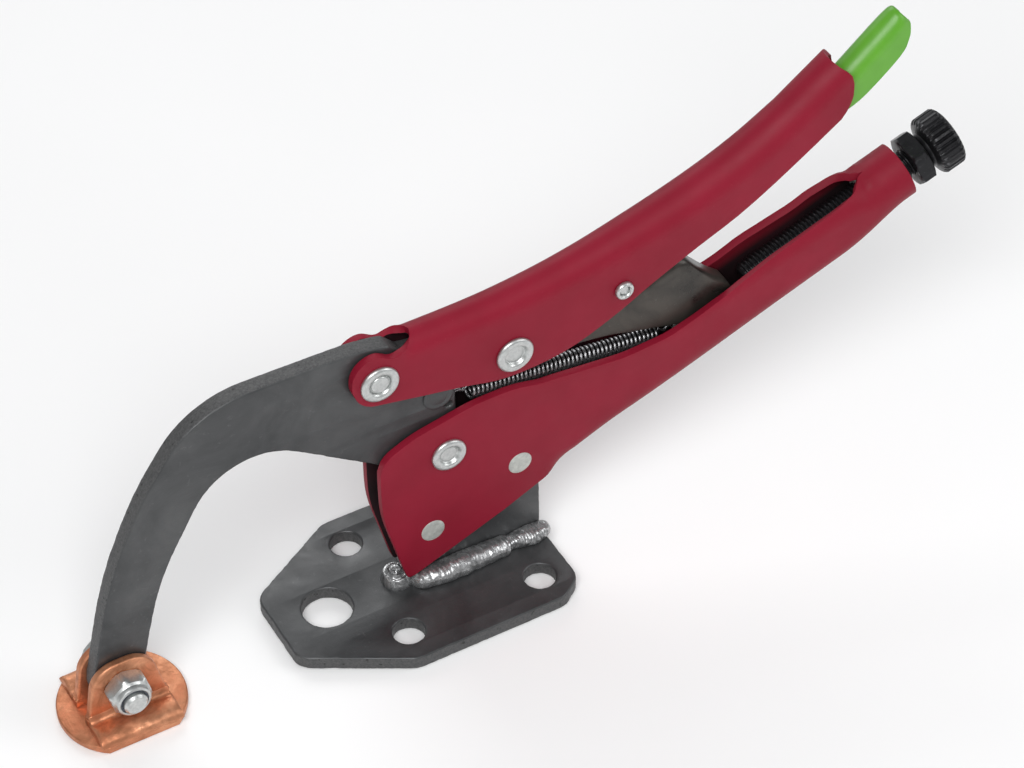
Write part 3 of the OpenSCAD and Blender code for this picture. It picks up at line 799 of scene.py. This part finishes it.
def release_lever():
    folded_sheet("release_lever_pressing", [section_row(*row) for row in flow(LEVER_ROWS, 4)],
                 "plain_steel", "release_lever", ["release_lever"], 1.7, 0.5)
    folded_sheet("lever_dipped_tail", [section_row(*row) for row in flow(TAIL_ROWS, 5)],
                 "green_dip", "release_lever", ["lever_grip"], 2.2, 0.9)


# ---- toggle link -----------------------------------------------------------------------------------

# [x and z of the top, x and z of the lower edge, half width, shoulder radius]
LINK_ROWS = [
    [24, 98.6, 24, 83.3, 3.05, 1.9], [36, 96.6, 36, 82.2, 3.05, 1.9], [48, 94.9, 48, 81.2, 3.05, 1.9],
    [60, 93.7, 60, 79.6, 3.3, 2.1], [68, 94.2, 69, 77.6, 3.9, 2.6], [76, 97.0, 78, 75.8, 4.5, 3.1],
    [83, 99.9, 86, 73.6, 4.6, 3.2], [88, 99.2, 93, 71.0, 4.6, 3.2], [93, 93.6, 98.6, 68.8, 4.6, 3.0],
    [98.6, 87.6, 103.2, 68.6, 4.6, 2.9], [104.0, 82.8, 107.4, 73.6, 4.6, 2.9]]


def toggle_link():
    """A pressed link: a narrow blade at the front that opens into a humped channel."""
    rows = []
    for x, z, low_x, low_z, half_width, shoulder in flow(LINK_ROWS, 5):
        top, low = np.array([x, z]), np.array([low_x, low_z])
        length = np.linalg.norm(low - top)
        row = [(x, 0.0, z), (x, (half_width - shoulder) * 0.6, z - 0.02)]
        for a in np.linspace(0, math.pi / 2, 8):
            at = top + (low - top) * shoulder * (1 - math.cos(a)) / length
            row.append((at[0], half_width - shoulder + shoulder * math.sin(a), at[1]))
        for share in np.linspace(0, 1, 10)[1:]:
            at = top + (low - top) * (shoulder + (length - shoulder) * share) / length
            row.append((at[0], half_width, at[1]))
        rows.append(row)
    folded_sheet("toggle_link_pressing", rows, "black_link", "link", ["toggle_link"], 2.0, 0.6)
    eye = pivot("link_turn")
    rings = [(0, 0), (0, 6.9), (0.25, 7.4), (0.7, 7.6), (5.4, 7.6), (5.85, 7.4), (6.1, 6.9), (6.1, 0)]
    turned("toggle_link_eye", (eye[0], -3.05, eye[1]), (0, 1, 0), rings, "black_link", "link", [], 72)


# ---- rivets, pins and fasteners --------------------------------------------------------------------

def rolled_rivet(node, joint, body, shank, button):
    """A tubular rivet whose two rolled flanges stand round a groove and a middle button.
    button is the height of the button's face above the sheet."""
    at = pivot(joint)
    low, high = box(node)
    reach, flange = high[1], (high[0] - low[0]) / 2
    under = reach - 1.5
    groove = 0.04
    half = [(0, button), (0.24, button), (0.40, button * 0.97), (0.45, button * 0.85),
            (0.475, button * 0.5), (0.49, groove), (0.52, groove + 0.02), (0.55, 0.25), (0.575, 0.80),
            (0.62, 1.20), (0.70, 1.46), (0.80, 1.50), (0.90, 1.36), (0.96, 1.08), (1.0, 0.70), (1.0, 0.15),
            (0.985, 0.0)]
    side = [(under + height, flange * share) for share, height in half]
    rings = [(-along, radius) for along, radius in side] + [(-under, shank), (under, shank)] + side[::-1]
    turned(node + "_rolled", (at[0], 0, at[1]), (0, 1, 0), rings, "zinc", body, [node], 72, 50)


def rivets():
    rolled_rivet("arm_pivot_rivet", "arm_swing", "base", 4.0, 0.35)
    rolled_rivet("handle_pivot_rivet", "handle_turn", "upper_handle", 4.0, 1.0)
    rolled_rivet("link_pivot_rivet", "link_turn", "upper_handle", 4.0, 0.15)
    rolled_rivet("release_rivet", "lever_press", "upper_handle", 2.0, 0.7)
    for node in ("web_rivet_front", "web_rivet_rear"):
        low, high = box(node)
        middle, radius, reach = (low + high) / 2, (high[0] - low[0]) / 2, high[1]
        half = [(reach + 0.06, 0), (reach + 0.05, radius * 0.6), (reach, radius * 0.9),
                (reach - 0.1, radius * 0.98), (reach - 0.3, radius)]
        rings = [(-along, r) for along, r in half] + half[::-1]
        turned(node + "_dressed", (middle[0], 0, middle[2]), (0, 1, 0), rings, "plain_steel", "base", [node])
    low, high = box("spring_pin")
    middle, radius, reach = (low + high) / 2, (high[0] - low[0]) / 2, high[1]
    half = [(reach, 0), (reach, radius * 0.55), (reach - 0.12, radius * 0.60), (reach - 0.12, radius * 0.74),
            (reach, radius * 0.80), (reach - 0.05, radius * 0.93), (reach - 0.25, radius),
            (reach - 0.6, radius), (reach - 0.6, 2.5)]
    turned("spring_pin_headed", (middle[0], 0, middle[2]), (0, 1, 0),
           [(-along, r) for along, r in half] + half[::-1], "dark_steel", "arm", ["spring_pin"])


# ---- contact pad -----------------------------------------------------------------------------------

EAR_THICKNESS = 3.0


def pad():
    low, high = box("pad_disc")
    plate("pad_disc_worn", "pad_disc", 2, (low[2], high[2]), "copper", "pad", 0.5, pitch=0.9)
    at = pivot("pad_swivel")
    for node, side in (("pad_ear_near", -1), ("pad_ear_far", 1)):
        ear_low, ear_high = box(node)
        inner = ear_high[1] if side < 0 else ear_low[1]
        outer = inner + side * EAR_THICKNESS
        levels = sorted((inner, outer))
        plate(node + "_upright", node, 1, levels, "copper", "pad", 0.8, pitch=0.8, lower=inner)
        pad_flange(node, side, inner, outer, ear_low, ear_high)
    bolt(at)


def pad_flange(node, side, inner, outer, low, high):
    """The ear's foot on the disc: a rounded bend, a hollow along it, and a bevelled outer edge."""
    floor = box("pad_disc")[1][2]
    top = floor + EAR_THICKNESS
    middle = (low[0] + high[0]) / 2
    edge = max(abs(low[1]), abs(high[1]))
    reach = abs(outer)
    # section of the foot as [distance from the clamp's middle plane, height]
    section = [(abs(inner) + 0.05, floor), (abs(inner) + 0.05, top + 0.6), (reach - 0.3, top + 1.7),
               (reach + 0.15, top + 1.2), (reach + 0.6, top + 0.35), (reach + 1.3, top - 0.35),
               (reach + 2.4, top - 0.55), (reach + 3.6, top - 0.25), (reach + 5.2, top),
               (edge - 4.0, top), (edge - 2.2, top - 0.35), (edge - 0.9, top - 1.1),
               (edge - 0.25, top - 2.0), (edge, floor + 0.4), (edge - 0.1, floor)]
    line = spread(flow(section[1:-1], 4), np.linspace(0, 1, 44))
    line = np.vstack([[section[0]], line, [section[-1]]])
    columns = 48
    points = []
    for i in range(columns + 1):
        s = 2 * i / columns - 1
        for out, height in line:
            half = (high[0] - low[0]) / 2 - 0.35 * step(height, top - 0.9, top)
            ease = 1 - 0.12 * abs(s) ** 24
            x = middle + s * half
            lift = wobble((x, out, 0), 5, 0.35) + wobble((x, out, 7), 1.7, 0.12)
            inside = step(out, abs(inner) + 0.5, reach) * step(height, floor + 0.2, floor + 1.2)
            points.append((x, side * out, floor + (height - floor) * ease + lift * inside))
    count = len(line)
    faces = strip(columns + 1, count, loop=True)
    faces += [list(range(count)), list(range(columns * count, (columns + 1) * count))]
    obj = mesh_object(node + "_foot", points, faces)
    soften(obj, 0.35, 2, 50)
    finish(obj, "copper", "pad", [], 45)


def bolt(at):
    """The swivel bolt: a plain round head side at the far ear and a nylon-ring lock nut at the near one."""
    low, high = box("pad_bolt")
    nut_low, nut_high = box("pad_bolt_nut")
    face, origin = nut_high[1], (at[0], 0, at[1])
    hex_radius = hexagon(13.0)

    def hexed(a, along, radius):
        return min(radius, hex_radius(a + 0.22))

    hex_end = face - 6.0
    nut = [(face, 4.1), (face, 6.4), (face - 0.25, 6.9), (face - 0.9, 7.6), (hex_end + 1.3, 7.6),
           (hex_end + 0.5, 6.7), (hex_end, 6.15), (hex_end - 0.25, 5.95), (hex_end - 1.2, 5.85),
           (hex_end - 1.7, 5.6), (nut_low[1], 5.05), (nut_low[1] + 0.15, 4.75), (nut_low[1] + 0.5, 4.6),
           (hex_end, 4.1)]
    turned("pad_nut_hex", origin, (0, 1, 0), nut, "zinc", "pad", ["pad_bolt_nut"], 144, 28, True, hexed)
    ring = [(nut_low[1] + 0.45, 4.75), (nut_low[1] + 0.35, 4.5), (nut_low[1] + 0.4, 4.1),
            (nut_low[1] + 0.7, 3.95), (nut_low[1] + 1.6, 3.95), (nut_low[1] + 1.6, 4.75)]
    insert = turned("pad_nut_nylon_ring", origin, (0, 1, 0), ring, "nylon", "pad", [], 72, 40, True)
    tip, head = low[1], high[1]
    start = box("pad_ear_far")[0][1] + EAR_THICKNESS
    shank = [(tip, 0), (tip, 3.2), (tip + 0.35, 3.55), (tip + 0.8, 3.95), (tip + 3.2, 3.95),
             (-start, 4.0), (start, 4.0), (start + 0.1, 0)]
    turned("pad_bolt_shank", origin, (0, 1, 0), shank, "zinc", "pad", ["pad_bolt"], 72)
    cap = [(start, 0), (start, 6.2), (start + 0.3, 7.4), (head - 1.3, 7.6), (head - 0.45, 6.8),
           (head, 6.1), (head, 5.2), (head - 0.25, 4.9), (head - 0.3, 0)]
    turned("pad_bolt_head", origin, (0, 1, 0), cap, "zinc", "pad", [], 144, 28, False, hexed)


# ---- adjusting screw -------------------------------------------------------------------------------

def screw():
    origin = Vector((TUBE_END[0], 0, TUBE_END[1]))
    low = box("adjusting_screw")[0]
    tip = round((low[0] - TUBE_END[0]) / ALONG[0] + 1.2, 1)
    pitch, crest, root = 1.5, 5.0, 4.15
    knob_start = 10.3
    steps = int((knob_start - tip) / pitch * 10)
    rings = [(tip, 0), (tip, 3.2)]
    for k in range(steps + 1):
        along = tip + 0.05 + (knob_start - tip) * k / steps
        rings.append((along, min(crest, 3.4 + (along - tip) * 0.9)))

    def threaded(a, along, radius):
        phase = (along / pitch - a / (2 * math.pi)) % 1.0
        tooth = min(1.0, max(0.0, 1.35 - abs(2 * phase - 1) * 1.6))
        return min(radius, root + (crest - root) * tooth) if radius > 3.3 else radius

    turned("adjusting_screw_threaded", origin, SCREW_AXIS, rings, "black_oxide", "screw",
           ["adjusting_screw"], 48, 40, False, threaded)

    ribs, knob = 30, 10.25
    outline = [(9.4, 0), (9.4, 5.4), (9.8, 5.9), (10.8, 6.3), (11.4, 8.2), (11.7, 9.1), (12.2, 9.8),
               (12.9, knob), (18.9, knob), (19.5, 9.9), (20.0, 9.3), (20.4, 8.4), (20.55, 7.6),
               (20.4, 7.2), (20.4, 5.2), (20.55, 5.0), (20.55, 0)]
    fine = []
    for (a0, r0), (a1, r1) in zip(outline, outline[1:]):
        count = max(1, int(abs(a1 - a0) / 0.7))
        fine += [(a0 + (a1 - a0) * k / count, r0 + (r1 - r0) * k / count) for k in range(count)]

    def ribbed(a, along, radius):
        cut = max(0.0, math.cos(a * ribs)) ** 0.7
        return radius - 0.75 * cut * step(radius, 8.9, 9.8)

    turned("adjusting_knob_ribbed", origin, SCREW_AXIS, fine + [outline[-1]], "black_oxide", "screw",
           ["adjusting_knob"], ribs * 10, 40, False, ribbed)

    across = hexagon(17.0)

    def hexed(a, along, radius):
        return min(radius, across(a + 0.3))

    nut = [(3.2, 5.02), (3.2, 8.3), (3.5, 8.9), (4.0, 9.9), (8.0, 9.9), (8.5, 8.9), (8.8, 8.3),
           (8.8, 5.7), (8.3, 5.02)]
    turned("lock_nut_chamfered", origin, SCREW_AXIS, nut, "black_oxide", "lock_nut", ["lock_nut"],
           144, 28, True, hexed)


# ---- tension spring --------------------------------------------------------------------------------

def wire(name, path, radius, slot):
    """A round wire along a path."""
    sides, points = 8, []
    ahead = (path[1] - path[0]).normalized()
    side = ahead.orthogonal().normalized()
    for k, at in enumerate(path):
        ahead = (path[min(k + 1, len(path) - 1)] - path[max(k - 1, 0)]).normalized()
        side = (side - ahead * side.dot(ahead)).normalized()
        up = ahead.cross(side)
        for j in range(sides):
            a = 2 * math.pi * j / sides
            points.append(at + (side * math.cos(a) + up * math.sin(a)) * radius)
    faces = strip(len(path), sides, loop=True)
    faces += [list(range(sides)), list(range(len(points) - sides, len(points)))]
    obj = mesh_object(name, points, faces, weld=0.001)
    obj.data.materials.append(PAINTS[slot])
    obj.data.shade_smooth()
    return obj


def spring():
    """A close coil with a turned-up hook at each end."""
    front, rear = Vector((4, 0, 77)), Vector((88, 0, 67.7))
    run = (rear - front).length
    ahead = (rear - front).normalized()
    side = Vector((0, 1, 0))
    up = side.cross(ahead)
    if up.z < 0:
        up = -up
    coil_from, coil_to, radius, pitch = 7.0, run - 8.5, 2.5, 1.55
    turns = (coil_to - coil_from) / pitch
    path = [front + ahead * (1.0 + 2.2 * (1 - math.cos(a))) + up * 1.7 * math.sin(a)
            for a in np.linspace(-0.6, 2.3, 14)]
    path += [front + ahead * (coil_from - 1.6) + up * 0.9, front + ahead * (coil_from - 0.7) + up * 1.9]
    steps = int(turns * 18)
    for k in range(steps + 1):
        a = 2 * math.pi * turns * k / steps
        along = coil_from + (coil_to - coil_from) * k / steps
        path.append(front + ahead * along + (up * math.cos(a) + side * math.sin(a)) * radius)
    path += [rear - ahead * 7.4 + up * 1.7, rear - ahead * 6.4 + up * 0.8]
    path += [rear - ahead * (1.0 + 2.2 * (1 + math.cos(a))) + up * 1.7 * math.sin(a)
             for a in np.linspace(0.2, 3.6, 16)]
    obj = wire("tension_spring_coil", path, 0.5, "spring_wire")
    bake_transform(obj)
    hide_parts("tension_spring")


def arm():
    low, high = box("jaw_arm")
    plate("jaw_arm_cut", "jaw_arm", 1, (low[1], high[1]), "dark_steel", "arm", 0.7, 0.16, relax=14)


def hidden_parts():
    """Packed parts whose shape is already right: they get eased edges and their finish."""
    for node in ("spring_anchor_tab", "screw_insert"):
        obj = frame["nodes"][node]
        obj.data.materials.clear()
        obj.data.materials.append(PAINTS["plain_steel"])
        soften(obj, 0.3, 2)


# ---- studio ----------------------------------------------------------------------------------------

def camera():
    """A long lens from the front left and well above."""
    azimuth, elevation, roll = math.radians(-28.475), math.radians(44.102), math.radians(-1.027)
    back = Vector((math.sin(azimuth) * math.cos(elevation), -math.cos(azimuth) * math.cos(elevation),
                   math.sin(elevation)))
    right = Vector((math.cos(azimuth), math.sin(azimuth), 0))
    up = back.cross(right)
    right, up = (math.cos(roll) * right + math.sin(roll) * up, math.cos(roll) * up - math.sin(roll) * right)
    aim, distance = Vector((40.81, 25.55, 43.26)), 1085.23
    data = bpy.data.cameras.new("camera")
    data.sensor_width, data.lens = 36.0, 116.87
    data.clip_start, data.clip_end = 0.05, 20
    made = bpy.data.objects.new("camera", data)
    turn = Matrix((right, up, back)).transposed()
    made.matrix_world = Matrix.Translation((aim + back * distance) * MM) @ turn.to_4x4()
    bpy.context.scene.collection.objects.link(made)
    bpy.context.scene.camera = made


def softbox(name, place, size, power):
    """A rectangular studio light turned towards the object."""
    data = bpy.data.lights.new(name, "AREA")
    data.shape = "RECTANGLE"
    data.size, data.size_y, data.energy = size[0] * MM, size[1] * MM, power
    made = bpy.data.objects.new(name, data)
    turn = (Vector((40, 0, 60)) - Vector(place)).to_track_quat("-Z", "Y").to_matrix().to_4x4()
    made.matrix_world = Matrix.Translation(Vector(place) * MM) @ turn
    bpy.context.scene.collection.objects.link(made)


def studio():
    floor = mesh_object("floor", [(-4000, -4000, -0.2), (4000, -4000, -0.2), (4000, 4000, -0.2),
                                  (-4000, 4000, -0.2)], [[0, 1, 2, 3]], orient=False)

    def paper(tree):
        cloud = spread_out(tree, grain(tree, 3, 3), 0.3, 0.7)
        return {"Base Color": mix(tree, cloud, (0.90, 0.90, 0.90), (0.93, 0.93, 0.93)), "Roughness": 0.7,
                "Specular IOR Level": 0.2}

    floor.data.materials.append(material("paper", paper))
    softbox("key", (-500, -700, 1100), (900, 700), 14)
    softbox("fill", (900, -500, 700), (700, 700), 4)
    softbox("rim", (200, 900, 700), (900, 500), 4)
    world = bpy.data.worlds.new("studio")
    world.use_nodes = True
    tree = world.node_tree
    up = add(tree, "ShaderNodeSeparateXYZ", {"Vector": add(tree, "ShaderNodeTexCoord").outputs["Generated"]})
    height = spread_out(tree, up.outputs["Z"], -0.1, 0.9)
    tone = mix(tree, height, (0.95, 0.95, 0.95), (0.62, 0.63, 0.65))
    back = tree.nodes["Background"]
    tree.links.new(tone, back.inputs["Color"])
    back.inputs["Strength"].default_value = 0.42
    bpy.context.scene.world = world
    bpy.context.scene.view_settings.view_transform = "Standard"


camera()
studio()
base()
weld_run("weld_near_rippled", "weld_bead_near", -1)
weld_run("weld_far_rippled", "weld_bead_far", 1)
weld_blob()
fixed_handle()
arm()
upper_handle()
release_lever()
toggle_link()
rivets()
pad()
screw()
spring()
hidden_parts()
